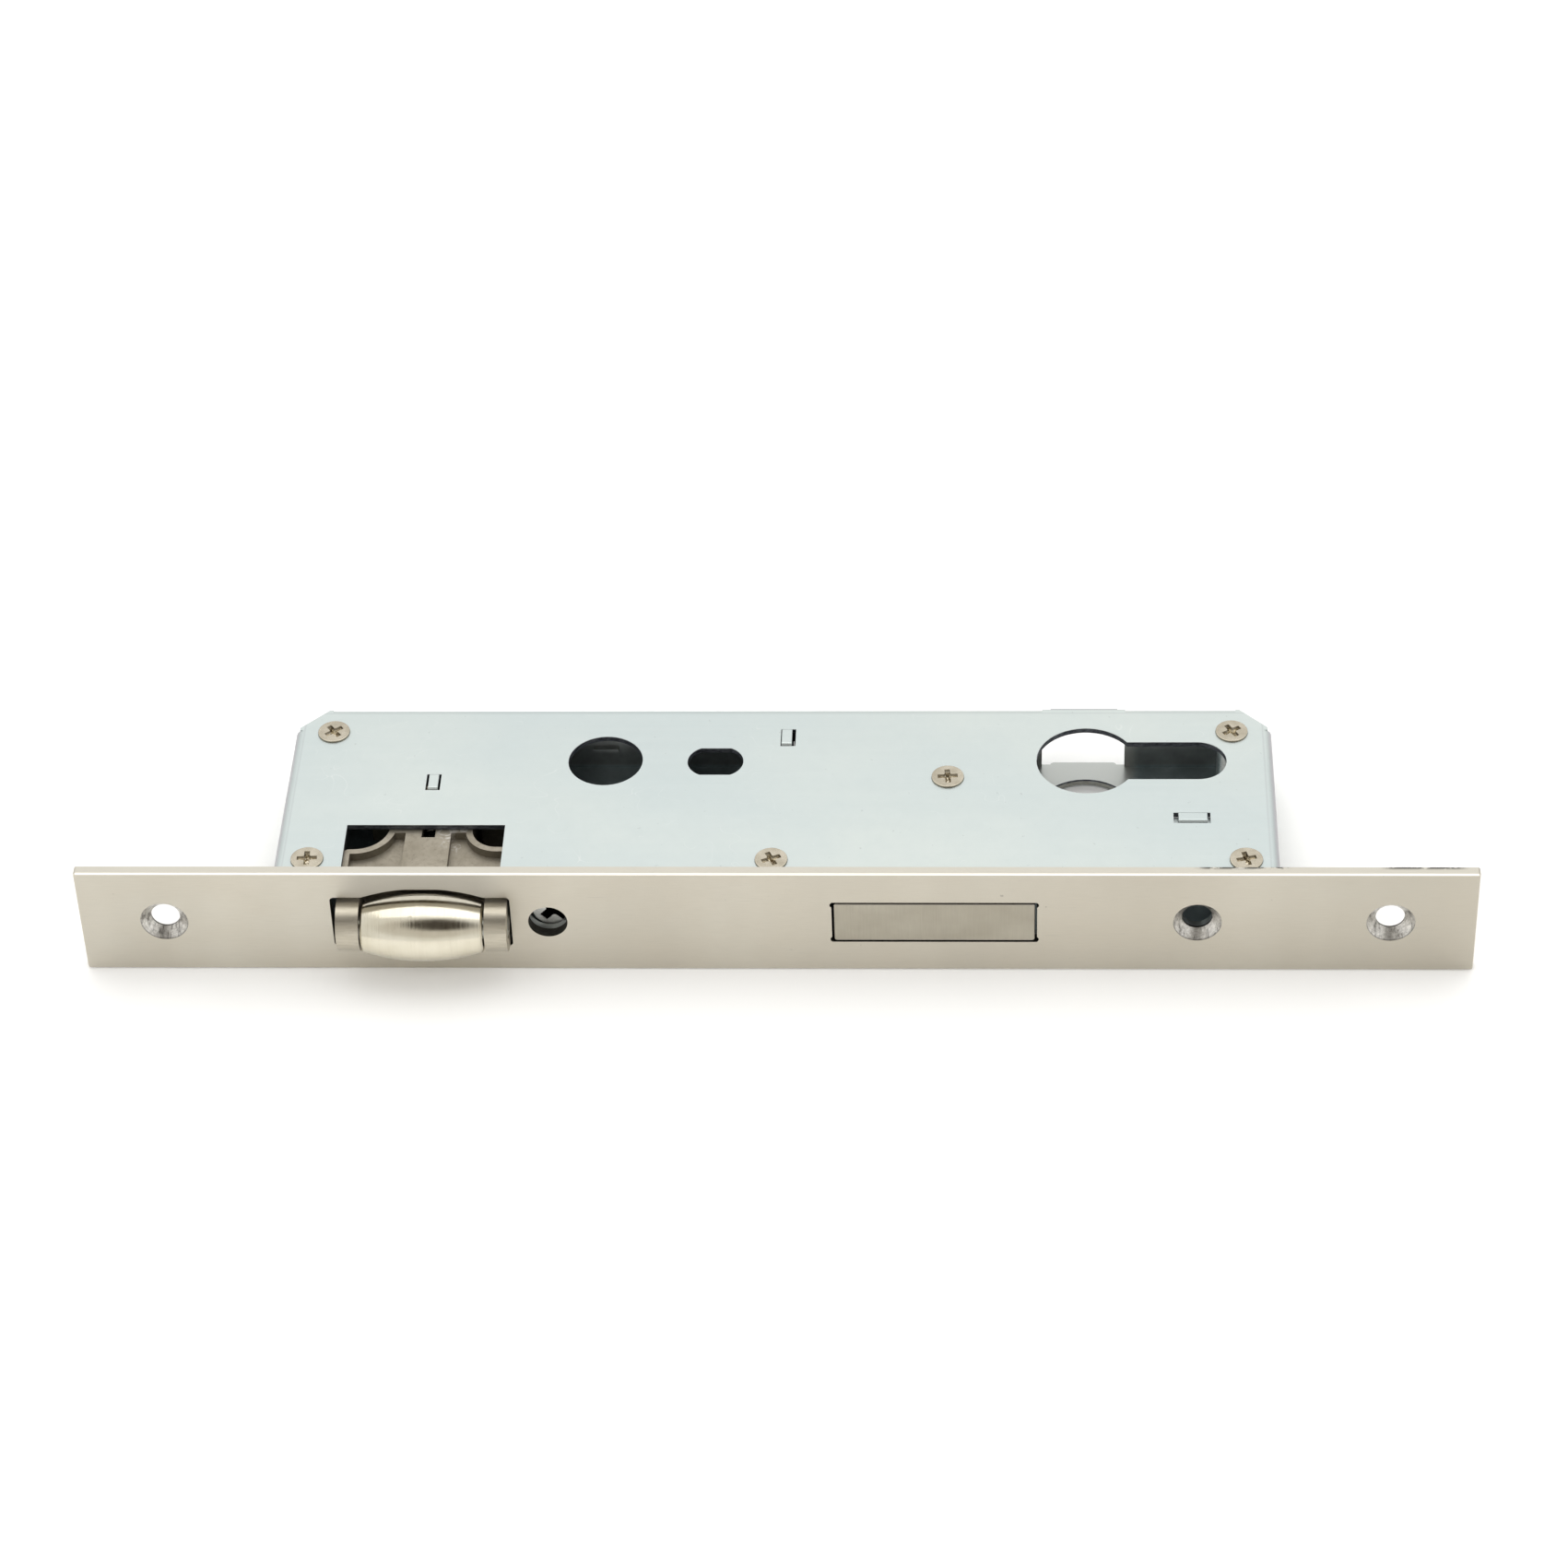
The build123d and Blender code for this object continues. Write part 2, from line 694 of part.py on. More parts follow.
with BuildPart() as bolt_tail:
    tail_plan = [
        (tail_left, tail_front),
        (tail_tongue_right, tail_front),
        (tail_tongue_right, bolt_depth),
        (bolt_span[1], bolt_depth),
        (bolt_span[1], cam_notch[0]),
        (cam_notch_x, cam_notch[0]),
        (cam_notch_x, cam_notch[1]),
        (bolt_span[1], cam_notch[1]),
        (bolt_span[1], tail_back),
        (post_slot[1], tail_back),
        (post_slot[1], bolt_post[1]),
        (post_slot[0], bolt_post[1]),
        (post_slot[0], tail_back),
        (tail_left, tail_back),
    ]
    with BuildSketch(level(-tail_thick / 2)):
        add(outline(tail_plan))
        with Locations(bolt_post):
            Circle(post_r + play, mode=Mode.SUBTRACT)
        peg_room = peg_r + 0.3
        with Locations((peg_x - slide_travel / 2, peg_y + bolt_throw / 2)):
            Rectangle(slide_travel + 2 * peg_room, bolt_throw + 2 * peg_room, mode=Mode.SUBTRACT)
        for point in rivet_points:
            with Locations(point):
                Circle(rivet_r, mode=Mode.SUBTRACT)
    extrude(amount=tail_thick)
finish("bolt_tail", bolt_tail)

with BuildPart() as bolt_rivets:
    for x, y in rivet_points:
        rod(level(-bolt_height / 2), (x, y), rivet_r, bolt_height)
finish("bolt_rivets", bolt_rivets)

# ---- locking slide, pushed aside by the cam before it drives the bolt ----
slide_right = 37.6
slide_nose_x = 41.3
slide_nose_half = 5.5
slide_body = [
    (slide_shoulder_x, 39.0),
    (18.0, 36.0),
    (18.0, 21.6),
    (25.2, 21.6),
    (25.2, 25.0),
    (slide_right, 25.0),
    (slide_right, 45.0),
    (slide_shoulder_x, 45.0),
]
with BuildPart() as locking_slide:
    with BuildSketch(level(slide_low)) as slide_plan:
        add(outline(slide_body))
        with BuildLine():
            nose_start = (slide_right, backset - slide_nose_half)
            nose_end = (slide_right, backset + slide_nose_half)
            ThreePointArc(nose_start, (slide_nose_x, backset), nose_end)
            Line(nose_end, nose_start)
        make_face()
        slot_length = 2 * (post_r + play) + slide_travel
        with Locations((bolt_post[0] + slide_travel / 2, bolt_post[1])):
            SlotOverall(slot_length, 2 * (post_r + play), mode=Mode.SUBTRACT)
        with Locations((peg_x, peg_y)):
            Circle(peg_neck_r, mode=Mode.SUBTRACT)
    extrude(amount=slide_high - slide_low)
    tongue_y_span = (tongue_y - tongue_half, tongue_y + tongue_half)
    block((-3.0, slide_shoulder_x), tongue_y_span, (slide_low, slide_high))
finish("locking_slide", locking_slide)

with BuildPart() as locking_peg:
    rod(level(-2.2), (peg_x, peg_y), peg_r, slide_low + 2.2)
    chamfer(locking_peg.edges().group_by(Axis.Z)[0], 0.3)
    rod(level(slide_low), (peg_x, peg_y), peg_neck_r, slide_high - slide_low)
finish("locking_peg", locking_peg)

with BuildPart() as slide_bracket:
    bracket_x = bracket_tab[0]
    block(bracket_x, (37.4, 45.6), (inner_floor, inner_top))
    add(stake_tab(bracket_tab))
    block(
        (bracket_x[0] - 1, bracket_x[1] + 1),
        (tongue_y - tongue_half - play, tongue_y + tongue_half + play),
        (slide_low - play, slide_high + play),
        mode=Mode.SUBTRACT,
    )
finish("slide_bracket", slide_bracket)

slide_spring_start = (bracket_x[1], tongue_y, (slide_low + slide_high) / 2)
locking_spring = coil_spring(slide_spring_start, (1, 0, 0), slide_shoulder_x - bracket_x[1], 2.2, 0.3, 7)
finish("locking_spring", locking_spring)

# ---- steady for the cylinder's fixing screw ----
with BuildPart() as screw_steady:
    steady_y = steady_tab[1]
    block((66.0, 80.0), steady_y, (inner_floor, inner_top))
    add(stake_tab(steady_tab))
    rod(depth(steady_y[1] + 1), (cylinder_screw_x, 0), cylinder_screw_r + 0.2, 4, mode=Mode.SUBTRACT)
finish("screw_steady", screw_steady)
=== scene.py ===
import bpy
import json
import math
from mathutils import Euler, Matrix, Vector


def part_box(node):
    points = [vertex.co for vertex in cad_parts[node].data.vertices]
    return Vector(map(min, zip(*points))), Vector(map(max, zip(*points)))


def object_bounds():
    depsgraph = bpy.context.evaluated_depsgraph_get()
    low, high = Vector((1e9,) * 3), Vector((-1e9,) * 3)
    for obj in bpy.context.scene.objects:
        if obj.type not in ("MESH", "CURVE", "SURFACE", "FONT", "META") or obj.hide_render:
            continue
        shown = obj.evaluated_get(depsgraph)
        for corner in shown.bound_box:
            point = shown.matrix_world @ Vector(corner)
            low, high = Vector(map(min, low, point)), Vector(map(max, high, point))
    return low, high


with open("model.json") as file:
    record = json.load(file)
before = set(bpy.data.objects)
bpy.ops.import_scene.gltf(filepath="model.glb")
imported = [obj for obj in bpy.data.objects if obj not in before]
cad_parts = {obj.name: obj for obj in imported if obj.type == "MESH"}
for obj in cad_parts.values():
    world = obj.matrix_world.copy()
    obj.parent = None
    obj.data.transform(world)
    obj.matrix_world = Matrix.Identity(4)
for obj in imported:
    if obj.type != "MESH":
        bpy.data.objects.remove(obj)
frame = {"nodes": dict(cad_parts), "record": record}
cad_low, cad_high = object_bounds()
nodes = frame["nodes"]
MM = 0.001

# Places taken from the CAD pieces, in metres
forend_low, forend_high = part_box("forend")
case_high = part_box("cover_skirts")[1]
tray_low, tray_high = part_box("case_base")
roller_low, roller_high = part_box("roller")
bolt_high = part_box("deadbolt")[1]
mounts = {mount["name"]: Vector(mount["pos_m"]) for mount in frame["record"]["mounts"]}
adjuster_low, adjuster_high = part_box("adjusting_screw")
roller_axis = (roller_low + roller_high) / 2
cylinder_axis = mounts["cylinder_bore_cover"]
screw_pattern = next(mount for mount in frame["record"]["mounts"] if mount["name"] == "forend_screws")
screw_half_spacing = screw_pattern["dims"]["spacing_x_mm"] / 2 * MM


class Paint:
    """One procedural material: short calls that add nodes and return their output sockets."""

    def __init__(self, name, metallic=1.0):
        self.material = bpy.data.materials.new(name)
        self.material.use_nodes = True
        self.tree = self.material.node_tree
        self.shader = self.tree.nodes["Principled BSDF"]
        self.shader.inputs["Metallic"].default_value = metallic
        coordinates = self.tree.nodes.new("ShaderNodeTexCoord")
        self.place = coordinates.outputs["Object"]
        self.x, self.y, self.z = self.split(self.place)
        self.facing = self.split(coordinates.outputs["Normal"])

    def split(self, vector):
        """The three parts of a vector output."""
        node = self.tree.nodes.new("ShaderNodeSeparateXYZ")
        self.tree.links.new(vector, node.inputs[0])
        return node.outputs

    def put(self, value, socket):
        """Links an output, or sets a plain value."""
        if isinstance(value, bpy.types.NodeSocket):
            self.tree.links.new(value, socket)
        else:
            socket.default_value = value

    def noise(self, scale, detail=3.0, roughness=0.55, offset=(0, 0, 0), distortion=0.0):
        """Noise from 0 to 1. scale is cycles per metre along X, Y and Z."""
        mapping = self.tree.nodes.new("ShaderNodeMapping")
        self.tree.links.new(self.place, mapping.inputs["Vector"])
        mapping.inputs["Scale"].default_value = scale
        mapping.inputs["Location"].default_value = offset
        texture = self.tree.nodes.new("ShaderNodeTexNoise")
        texture.inputs["Scale"].default_value = 1.0
        texture.inputs["Detail"].default_value = detail
        texture.inputs["Roughness"].default_value = roughness
        texture.inputs["Distortion"].default_value = distortion
        self.tree.links.new(mapping.outputs[0], texture.inputs["Vector"])
        return texture.outputs["Fac"]

    def math(self, kind, first, second=0.5):
        """One or two numbers through a math node."""
        node = self.tree.nodes.new("ShaderNodeMath")
        node.operation = kind
        for value, socket in zip((first, second), node.inputs):
            self.put(value, socket)
        return node.outputs[0]

    def spread(self, value, start, end, low=0.0, high=1.0, smooth=False):
        """Maps a value's range start..end onto low..high."""
        node = self.tree.nodes.new("ShaderNodeMapRange")
        node.interpolation_type = "SMOOTHSTEP" if smooth else "LINEAR"
        names = ("Value", "From Min", "From Max", "To Min", "To Max")
        for name, given in zip(names, (value, start, end, low, high)):
            self.put(given, node.inputs[name])
        return node.outputs[0]

    def mix(self, amount, first, second, kind="MIX"):
        """Colour mix: first at 0, second at 1."""
        node = self.tree.nodes.new("ShaderNodeMix")
        node.data_type = "RGBA"
        node.blend_type = kind
        self.put(amount, node.inputs[0])
        for value, socket in ((first, node.inputs[6]), (second, node.inputs[7])):
            self.put(value if isinstance(value, bpy.types.NodeSocket) else (*value, 1.0), socket)
        return node.outputs[2]

    def blend(self, amount, first, second):
        """Number mix: first at 0, second at 1."""
        node = self.tree.nodes.new("ShaderNodeMix")
        self.put(amount, node.inputs[0])
        self.put(first, node.inputs[2])
        self.put(second, node.inputs[3])
        return node.outputs[0]

    def ring(self, centre, axes):
        """Distance from a line through centre, measured along the two named axes."""
        sockets = {"x": self.x, "y": self.y, "z": self.z}
        places = {"x": centre[0], "y": centre[1], "z": centre[2]}
        squares = []
        for axis in axes:
            off = self.math("SUBTRACT", sockets[axis], places[axis])
            squares.append(self.math("MULTIPLY", off, off))
        return self.math("SQRT", self.math("ADD", *squares))

    def all(self, *masks):
        """1 where every mask is 1."""
        product = masks[0]
        for mask in masks[1:]:
            product = self.math("MULTIPLY", product, mask)
        return product

    def across(self, part):
        """1 on surfaces that stand across an axis, given the surface normal's part along it."""
        return self.spread(self.math("ABSOLUTE", part), 0.5, 0.3)

    def off(self, socket, place):
        """Distance from a place along one axis."""
        return self.math("ABSOLUTE", self.math("SUBTRACT", socket, place))

    def near(self, distance, inner, outer):
        """1 below inner, 0 beyond outer."""
        return self.spread(distance, inner, outer, 1.0, 0.0, smooth=True)

    def scratches(self, scale, width, offset=(0, 0, 0)):
        """Thin wandering lines, 1 on a line and 0 elsewhere, broken up along their length."""
        lines = self.noise(scale, 1.0, 0.4, offset, 0.4)
        line = self.near(self.math("ABSOLUTE", self.math("SUBTRACT", lines, 0.5)), 0.0, width)
        gaps = self.noise(tuple(s * 0.7 for s in scale), 2.0, 0.5, (7.1, 3.3, 1.9))
        return self.math("MULTIPLY", line, self.spread(gaps, 0.52, 0.6))

    def bump(self, height, strength, distance, below=None):
        """A normal raised by height, over the normal below."""
        node = self.tree.nodes.new("ShaderNodeBump")
        node.inputs["Strength"].default_value = strength
        node.inputs["Distance"].default_value = distance
        self.tree.links.new(height, node.inputs["Height"])
        if below is not None:
            self.tree.links.new(below, node.inputs["Normal"])
        return node.outputs[0]

    def finish(self, colour, rough, normal=None):
        """Sets the shader's colour, roughness and normal. Returns the material."""
        plain = not isinstance(colour, bpy.types.NodeSocket)
        self.put((*colour, 1.0) if plain else colour, self.shader.inputs["Base Color"])
        self.put(rough, self.shader.inputs["Roughness"])
        if normal is not None:
            self.tree.links.new(normal, self.shader.inputs["Normal"])
        return self.material


def forend_material():
    """Satin nickel with soft upright bands of painted sheen, brighter cut edges, a painted highlight
    along the front bevel and scuffed countersinks.
    """
    p = Paint("forend_satin_nickel")
    # Painted sheen: upright light and dark bands in the colour
    bands = p.noise((24, 0, 5), 3.0, 0.55, (3.7, 0, 0))
    cloud = p.noise((60, 60, 90), 4.0, 0.6, (1.2, 0, 4.0))
    patches = p.noise((14, 14, 34), 2.0, 0.5, (0.4, 0, 2.6))
    grain = p.noise((260, 4200, 5200), 3.0, 0.7)
    fine = p.noise((900, 9000, 11000), 2.0, 0.6)
    colour = p.mix(p.spread(bands, 0.3, 0.7), (0.470, 0.440, 0.375), (0.615, 0.588, 0.512))
    colour = p.mix(p.spread(patches, 0.35, 0.7, 0.0, 0.45), colour, (0.565, 0.520, 0.435))
    colour = p.mix(p.spread(cloud, 0.35, 0.75, 0.0, 0.35), colour, (0.56, 0.51, 0.42))
    colour = p.mix(p.spread(grain, 0.3, 0.7, 0.0, 0.14), colour, (0.40, 0.375, 0.32))
    # Painted shade: darker towards the right end
    colour = p.mix(p.spread(p.x, 30 * MM, 110 * MM, 0.0, 0.35), colour, (0.455, 0.425, 0.36))
    marks = p.scratches((40, 200, 900), 0.004, (5.0, 1.0, 2.0))
    colour = p.mix(p.math("MULTIPLY", marks, 0.25), colour, (0.38, 0.36, 0.33))
    specks = p.noise((700, 700, 700), 2.0, 0.5, (1.0, 7.0, 3.0))
    colour = p.mix(p.spread(specks, 0.74, 0.78, 0.0, 0.5), colour, (0.20, 0.19, 0.17))
    # Cut edges are brighter, and the front bevel carries a painted highlight along its middle
    past_end = p.math("SUBTRACT", p.math("ABSOLUTE", p.x), forend_high.x)
    past_side = p.math("SUBTRACT", p.math("ABSOLUTE", p.z), forend_high.z)
    outside = p.math("MAXIMUM", past_end, past_side)
    bevel = p.all(p.near(p.y, 0.40 * MM, 0.48 * MM), p.spread(outside, -0.22 * MM, -0.17 * MM))
    bevel_highlight = p.near(p.off(p.y, 0.2 * MM), 0.10 * MM, 0.20 * MM)
    colour = p.mix(p.spread(outside, -0.06 * MM, -0.01 * MM), colour, (0.56, 0.535, 0.47))
    colour = p.mix(bevel, colour, p.mix(bevel_highlight, (0.50, 0.475, 0.41), (0.78, 0.745, 0.67)))
    # Dirt along the back of the top edge, in two places near the right end
    dirt = p.noise((420, 900, 900), 4.0, 0.7, (2.2, 0, 0))
    right = p.near(p.off(p.x, 80.5 * MM), 6 * MM, 9 * MM)
    far_right = p.near(p.off(p.x, 111 * MM), 5 * MM, 8 * MM)
    top_edge = p.spread(p.z, forend_high.z - 0.3 * MM, forend_high.z)
    top_back = p.all(top_edge, p.spread(p.y, 1.3 * MM, 1.9 * MM))
    dirt = p.all(p.spread(dirt, 0.41, 0.48), top_back, p.math("MAXIMUM", right, far_right))
    colour = p.mix(dirt, colour, (0.05, 0.05, 0.045))
    # Countersinks: bare, scuffed by the cutter
    centres = (
        (-screw_half_spacing, 0, 0),
        (mounts["cylinder_screw_hole"].x, 0, 0),
        (screw_half_spacing, 0, 0),
    )
    distances = [p.ring(centre, "xz") for centre in centres]
    nearest = p.math("MINIMUM", p.math("MINIMUM", distances[0], distances[1]), distances[2])
    cone = p.all(p.near(nearest, 4.22 * MM, 4.28 * MM), p.spread(p.y, 0.01 * MM, 0.06 * MM))
    rings = p.noise((1500, 3800, 1500), 4.0, 0.75)
    scuffs = p.noise((1300, 300, 420), 4.0, 0.75, (4.0, 2.0, 0))
    bare = p.mix(p.spread(rings, 0.35, 0.65), (0.46, 0.44, 0.40), (0.80, 0.78, 0.74))
    bare = p.mix(p.spread(scuffs, 0.50, 0.64, 0.0, 0.85), bare, (0.15, 0.14, 0.125))
    # Painted shade on the lower part of each countersink's rim
    rim = p.all(p.spread(nearest, 3.95 * MM, 4.15 * MM), p.spread(p.z, 0.5 * MM, -1.0 * MM))
    bare = p.mix(p.math("MULTIPLY", rim, 0.75), bare, (0.07, 0.065, 0.06))
    colour = p.mix(cone, colour, bare)
    # Painted shade: the walls of the holes and windows are darkened, the upper walls less so
    wall = p.all(p.across(p.facing[1]), p.near(outside, -1.0 * MM, -0.6 * MM))
    wall_shade = p.mix(p.spread(rings, 0.3, 0.7), (0.060, 0.058, 0.050), (0.125, 0.120, 0.105))
    wall_shade_colour = p.mix(p.spread(p.facing[2], -0.5, -0.8), wall_shade, (0.24, 0.21, 0.155))
    colour = p.mix(wall, colour, wall_shade_colour)
    rough = p.spread(p.math("ADD", grain, cloud), 0.6, 1.4, 0.27, 0.43)
    # Matt above the roller, with painted light making the colour there lighter
    beside_roller = p.near(p.off(p.x, roller_axis.x), 9 * MM, 16 * MM)
    front_face = p.spread(p.facing[1], -0.90, -0.96)
    above_roller = p.all(beside_roller, p.spread(p.z, 4.5 * MM, 6.0 * MM), front_face)
    rough = p.blend(above_roller, rough, 0.80)
    colour = p.mix(p.math("MULTIPLY", above_roller, 0.8), colour, (0.665, 0.640, 0.580))
    rough = p.blend(cone, rough, 0.34)
    rough = p.blend(wall, rough, 0.6)
    normal = p.bump(grain, 0.10, 0.04 * MM)
    normal = p.bump(fine, 0.05, 0.02 * MM, normal)
    normal = p.bump(p.math("MULTIPLY", rings, cone), 0.45, 0.10 * MM, normal)
    return p.finish(colour, rough, normal)


def zinc_material():
    """Bright zinc plate on folded sheet: pale and cool, faint spangle, rolling lines and handling marks.

    Cut edges carry painted shade and a painted highlight, and inside the case the plate is painted
    darker as shade, with painted light in front of the cam's opening.
    """
    p = Paint("zinc_plate", 0.80)
    spangle = p.noise((210, 210, 210), 4.0, 0.6)
    rolling = p.noise((18, 1500, 1500), 3.0, 0.6, (0, 4, 0))
    cloud = p.noise((22, 30, 30), 3.0, 0.5, (8.0, 0, 0))
    colour = p.mix(p.spread(cloud, 0.35, 0.65), (0.521, 0.580, 0.577), (0.568, 0.616, 0.597))
    colour = p.mix(p.spread(spangle, 0.4, 0.7, 0.0, 0.20), colour, (0.475, 0.530, 0.527))
    colour = p.mix(p.spread(rolling, 0.4, 0.7, 0.0, 0.12), colour, (0.635, 0.668, 0.660))
    marks = p.scratches((130, 160, 160), 0.0035, (1.0, 6.0, 2.0))
    colour = p.mix(p.math("MULTIPLY", marks, 0.35), colour, (0.70, 0.72, 0.71))
    specks = p.noise((900, 900, 900), 2.0, 0.5, (3, 3, 3))
    colour = p.mix(p.spread(specks, 0.72, 0.76, 0.0, 0.35), colour, (0.35, 0.38, 0.38))
    off_centre = p.math("ABSOLUTE", p.x)
    cover_under = case_high.z - 1.0 * MM
    floor_top = tray_low.z + 1.2 * MM
    # Painted shade: a darker line where each bend starts, and the bend itself a little darker
    past_end = p.math("SUBTRACT", off_centre, case_high.x)
    past_back = p.math("SUBTRACT", p.y, case_high.y)
    outside = p.math("MAXIMUM", past_end, past_back)
    bend_shade_line = p.near(p.off(outside, -1.6 * MM), 0.05 * MM, 0.25 * MM)
    colour = p.mix(p.math("MULTIPLY", bend_shade_line, 0.35), colour, (0.40, 0.43, 0.435))
    folded = p.all(p.spread(outside, -0.9 * MM, -0.3 * MM), p.spread(p.facing[2], 0.05, 0.2))
    colour = p.mix(folded, colour, (0.40, 0.40, 0.42))
    # Painted shade inside the case: floor bluish, back wall warmer, and painted light in front of the
    # cam's opening
    below_cover = p.near(p.z, cover_under - 0.05 * MM, cover_under + 0.02 * MM)
    above_floor = p.spread(p.z, floor_top - 0.10 * MM, floor_top - 0.02 * MM)
    inside_ends = p.near(off_centre, case_high.x - 2.4 * MM, case_high.x - 2.2 * MM)
    on_floor = p.near(p.z, floor_top + 0.02 * MM, floor_top + 0.10 * MM)
    back_limit = p.blend(on_floor, tray_high.y - 1.15 * MM, tray_high.y + 1.0 * MM)
    inside_back = p.spread(p.math("SUBTRACT", p.y, back_limit), -0.05 * MM, 0.0, 1.0, 0.0)
    indoors = p.all(below_cover, above_floor, inside_ends, inside_back)
    inside_mottle = p.spread(spangle, 0.35, 0.7)
    bluish = p.mix(inside_mottle, (0.330, 0.395, 0.415), (0.450, 0.525, 0.545))
    warmer = p.mix(inside_mottle, (0.275, 0.292, 0.290), (0.375, 0.398, 0.395))
    inner = p.mix(p.spread(p.z, floor_top, floor_top + 0.8 * MM), bluish, warmer)
    cam_opening_light = p.near(p.off(p.x, cylinder_axis.x), 7.5 * MM, 10.0 * MM)
    inner = p.mix(cam_opening_light, inner, (0.485, 0.505, 0.485))
    colour = p.mix(indoors, colour, inner)
    # Painted shade on the cut edges of the openings in the cover and the floor, and a painted highlight
    # where the punch rolled the rim
    in_plan = p.all(p.near(off_centre, 84.0 * MM, 84.5 * MM), p.near(p.y, 46.4 * MM, 46.9 * MM))
    upper_cut = p.spread(p.z, cover_under - 0.05 * MM, cover_under)
    lower_cut = p.near(p.z, floor_top, floor_top + 0.05 * MM)
    cut = p.all(p.across(p.facing[2]), in_plan, p.math("MAXIMUM", upper_cut, lower_cut))
    torn = p.noise((700, 700, 2600), 3.0, 0.7, (6.0, 0, 0))
    cut_edge_shading = p.mix(p.spread(torn, 0.35, 0.7), (0.045, 0.050, 0.062), (0.190, 0.205, 0.230))
    lower_edge = p.mix(p.spread(torn, 0.35, 0.7), (0.300, 0.300, 0.270), (0.480, 0.480, 0.440))
    sheared = p.near(p.z, floor_top - 0.45 * MM, floor_top - 0.35 * MM)
    cut_edge_shading = p.mix(p.all(lower_cut, sheared), cut_edge_shading, lower_edge)
    rolled_highlight = p.spread(p.z, case_high.z - 0.14 * MM, case_high.z - 0.06 * MM)
    cut_edge_shading = p.mix(rolled_highlight, cut_edge_shading, (0.66, 0.70, 0.70))
    colour = p.mix(cut, colour, cut_edge_shading)
    rough = p.spread(p.math("ADD", spangle, rolling), 0.7, 1.3, 0.34, 0.47)
    rough = p.blend(indoors, rough, 0.3)
    rough = p.blend(cut, rough, 0.5)
    normal = p.bump(spangle, 0.10, 0.05 * MM)
    normal = p.bump(rolling, 0.06, 0.03 * MM, normal)
    return p.finish(colour, rough, normal)


def screw_material():
    """Nickel-plated pressed screws: warm, with painted shade and painted glints in the recesses and a
    painted dark line of shade round the head.
    """
    p = Paint("screw_nickel")
    cloud = p.noise((500, 500, 500), 3.0, 0.55)
    colour = p.mix(p.spread(cloud, 0.3, 0.7), (0.470, 0.425, 0.335), (0.555, 0.510, 0.420))
    # Painted shade deep in the recesses, broken by painted glints
    depth = p.spread(p.z, case_high.z + 0.22 * MM, case_high.z - 0.5 * MM)
    recess_mottle = p.noise((1600, 1600, 1600), 3.0, 0.6, (0, 4, 0))
    recess_shade_and_glints = p.mix(p.spread(recess_mottle, 0.38, 0.56), (0.16, 0.115, 0.060), (0.90, 0.84, 0.70))
    colour = p.mix(p.math("MULTIPLY", depth, 0.85), colour, recess_shade_and_glints)
    # Painted shade: a dark line round the side of the head
    shaded_side = p.all(p.across(p.facing[2]), p.near(p.z, case_high.z + 0.18 * MM, case_high.z + 0.26 * MM))
    shaded_side = p.all(shaded_side, p.spread(p.z, case_high.z - 0.1 * MM, case_high.z))
    colour = p.mix(p.math("MULTIPLY", shaded_side, 0.7), colour, (0.16, 0.14, 0.11))
    rough = p.spread(cloud, 0.3, 0.7, 0.20, 0.30)
    normal = p.bump(p.math("MULTIPLY", recess_mottle, depth), 0.9, 0.30 * MM)
    return p.finish(colour, rough, p.bump(cloud, 0.08, 0.04 * MM, normal))


def roller_material():
    """Turned and polished roller: fine rings round its axis, a few nicks and a warm tarnish."""
    p = Paint("roller_turned")
    rings = p.noise((2700, 40, 40), 3.0, 0.75)
    coarse = p.noise((700, 20, 20), 2.0, 0.6, (4, 0, 0))
    cloud = p.noise((120, 160, 160), 3.0, 0.6, (6, 2, 0))
    colour = p.mix(p.spread(cloud, 0.3, 0.7), (0.63, 0.585, 0.465), (0.74, 0.70, 0.585))
    colour = p.mix(p.spread(rings, 0.45, 0.75, 0.0, 0.20), colour, (0.50, 0.45, 0.34))
    nicks = p.scratches((900, 260, 260), 0.006, (2, 8, 1))
    colour = p.mix(p.math("MULTIPLY", nicks, 0.35), colour, (0.24, 0.20, 0.14))
    rough = p.spread(p.math("ADD", rings, cloud), 0.7, 1.4, 0.13, 0.27)
    normal = p.bump(rings, 0.28, 0.05 * MM)
    normal = p.bump(coarse, 0.12, 0.06 * MM, normal)
    return p.finish(colour, rough, normal)


def bolt_material():
    """Satin nickel bolt, brushed across its face."""
    p = Paint("bolt_satin_nickel")
    grain = p.noise((3600, 260, 150), 3.0, 0.7)
    cloud = p.noise((70, 80, 120), 3.0, 0.6, (2, 0, 0))
    colour = p.mix(p.spread(cloud, 0.35, 0.7), (0.370, 0.340, 0.275), (0.440, 0.410, 0.340))
    colour = p.mix(p.spread(grain, 0.35, 0.7, 0.0, 0.30), colour, (0.33, 0.31, 0.26))
    # Painted shade along the upper and lower edges of the face
    rim = p.math("SUBTRACT", bolt_high.z, p.math("ABSOLUTE", p.z))
    colour = p.mix(p.near(rim, 0.05 * MM, 0.35 * MM), colour, (0.33, 0.31, 0.27))
    rough = p.spread(grain, 0.3, 0.7, 0.34, 0.46)
    return p.finish(colour, rough, p.bump(grain, 0.16, 0.04 * MM))


